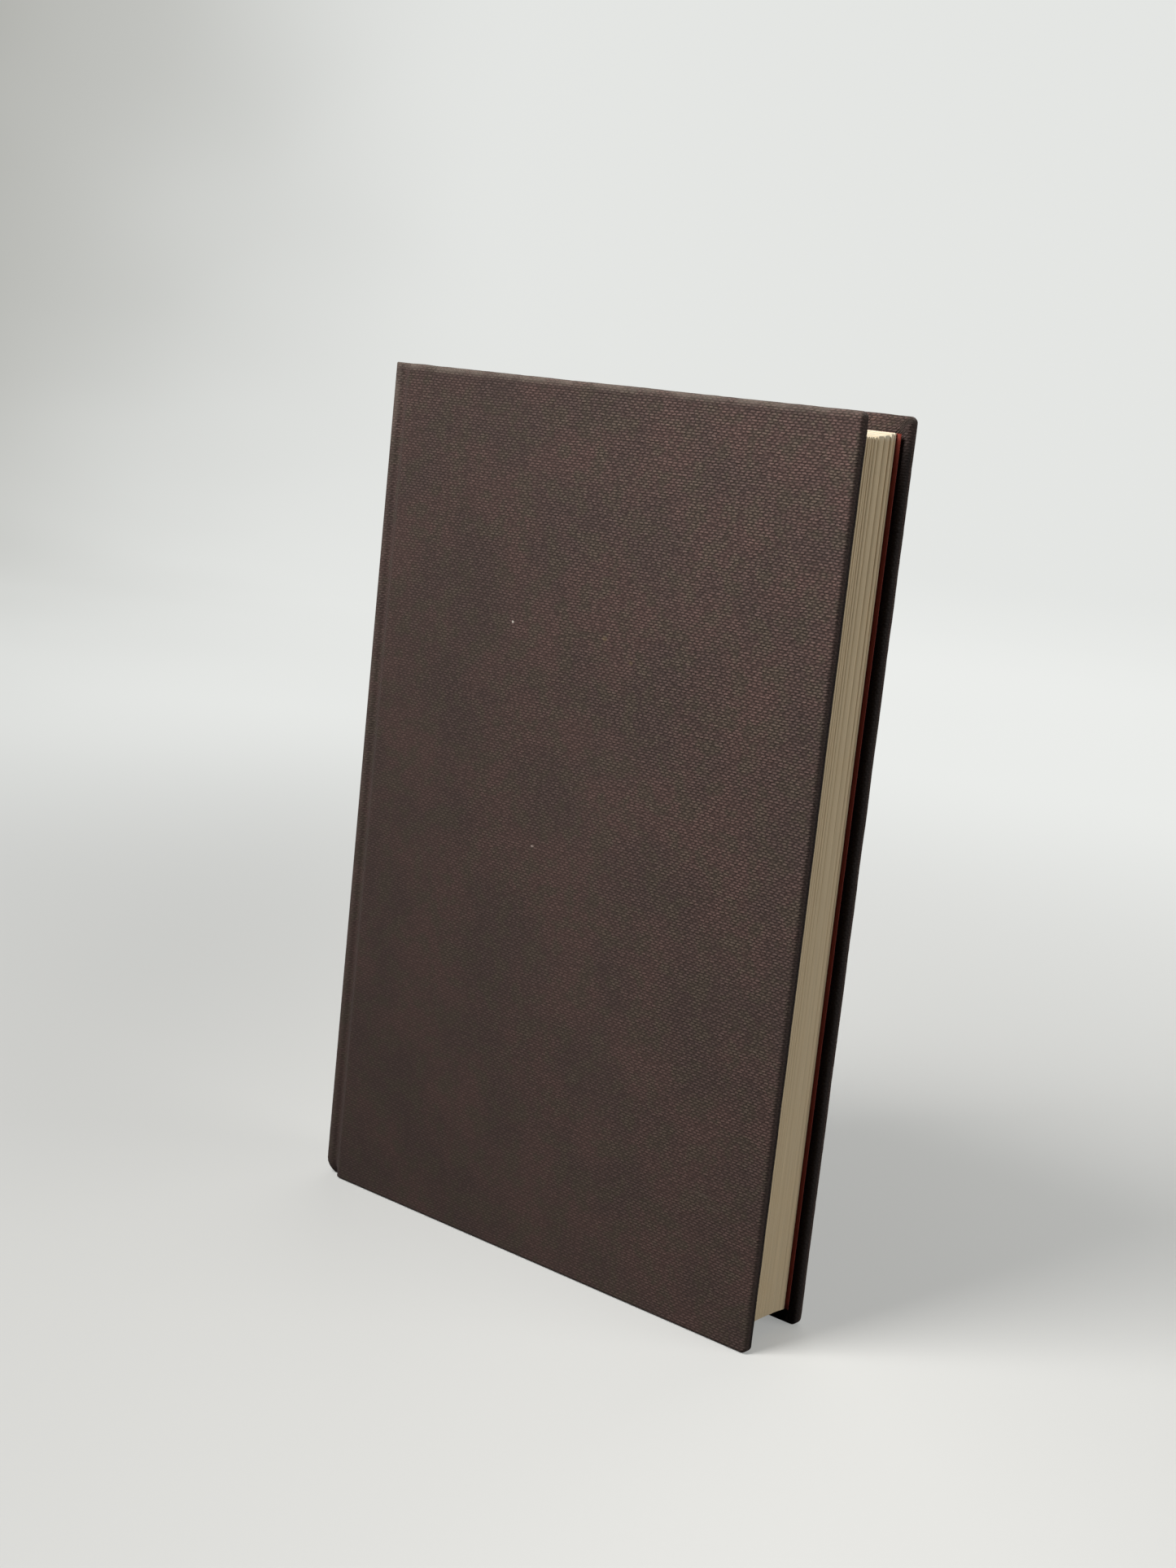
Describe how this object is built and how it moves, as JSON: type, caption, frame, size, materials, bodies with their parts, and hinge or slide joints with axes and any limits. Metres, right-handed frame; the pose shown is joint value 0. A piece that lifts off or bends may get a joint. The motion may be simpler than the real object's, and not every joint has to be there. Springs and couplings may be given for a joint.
{
  "type": "hardback book",
  "caption": "Closed hardback book in dark ribbed cloth with cream pages and rust-red endpapers, standing upright; both covers open on their joints.",
  "frame": {"origin": "middle of the footprint, on the surface that the book stands on", "axes": "+Z from tail to head, +X from the spine to the fore-edge, -Y out of the front cover"},
  "size_m": [0.1472, 0.027, 0.224],
  "materials": {
    "cover_cloth": "ribbed book cloth, dark taupe brown, matt",
    "pages": "uncoated cream book paper, trimmed edges",
    "endpaper": "rust-red coloured endpaper, matt",
    "board": "grey board, cut edges",
    "gauze": "open cotton gauze, stiffened",
    "kraft_lining": "brown kraft paper",
    "headband": "woven cotton band"
  },
  "bodies": {
    "book_block": {"text_block": "pages", "spine_inlay": "board", "spine_cloth": "cover_cloth", "front_flyleaf": "endpaper", "back_flyleaf": "endpaper", "spine_gauze": "gauze", "spine_lining": "kraft_lining", "head_band": "headband", "tail_band": "headband"},
    "front_cover": {"front_board": "board", "front_cloth": "cover_cloth", "front_pastedown": "endpaper"},
    "back_cover": {"back_board": "board", "back_cloth": "cover_cloth", "back_pastedown": "endpaper"}
  },
  "joints": [
    {"name": "front_cover_hinge", "type": "hinge", "parent": "book_block", "child": "front_cover", "pos_m": [-0.06847, -0.0132, 0], "axis": [0, 0, -1], "range_deg": [0, 180]},
    {"name": "back_cover_hinge", "type": "hinge", "parent": "book_block", "child": "back_cover", "pos_m": [-0.06997, 0.0132, 0], "axis": [0, 0, 1], "range_deg": [0, 180]}
  ]
}
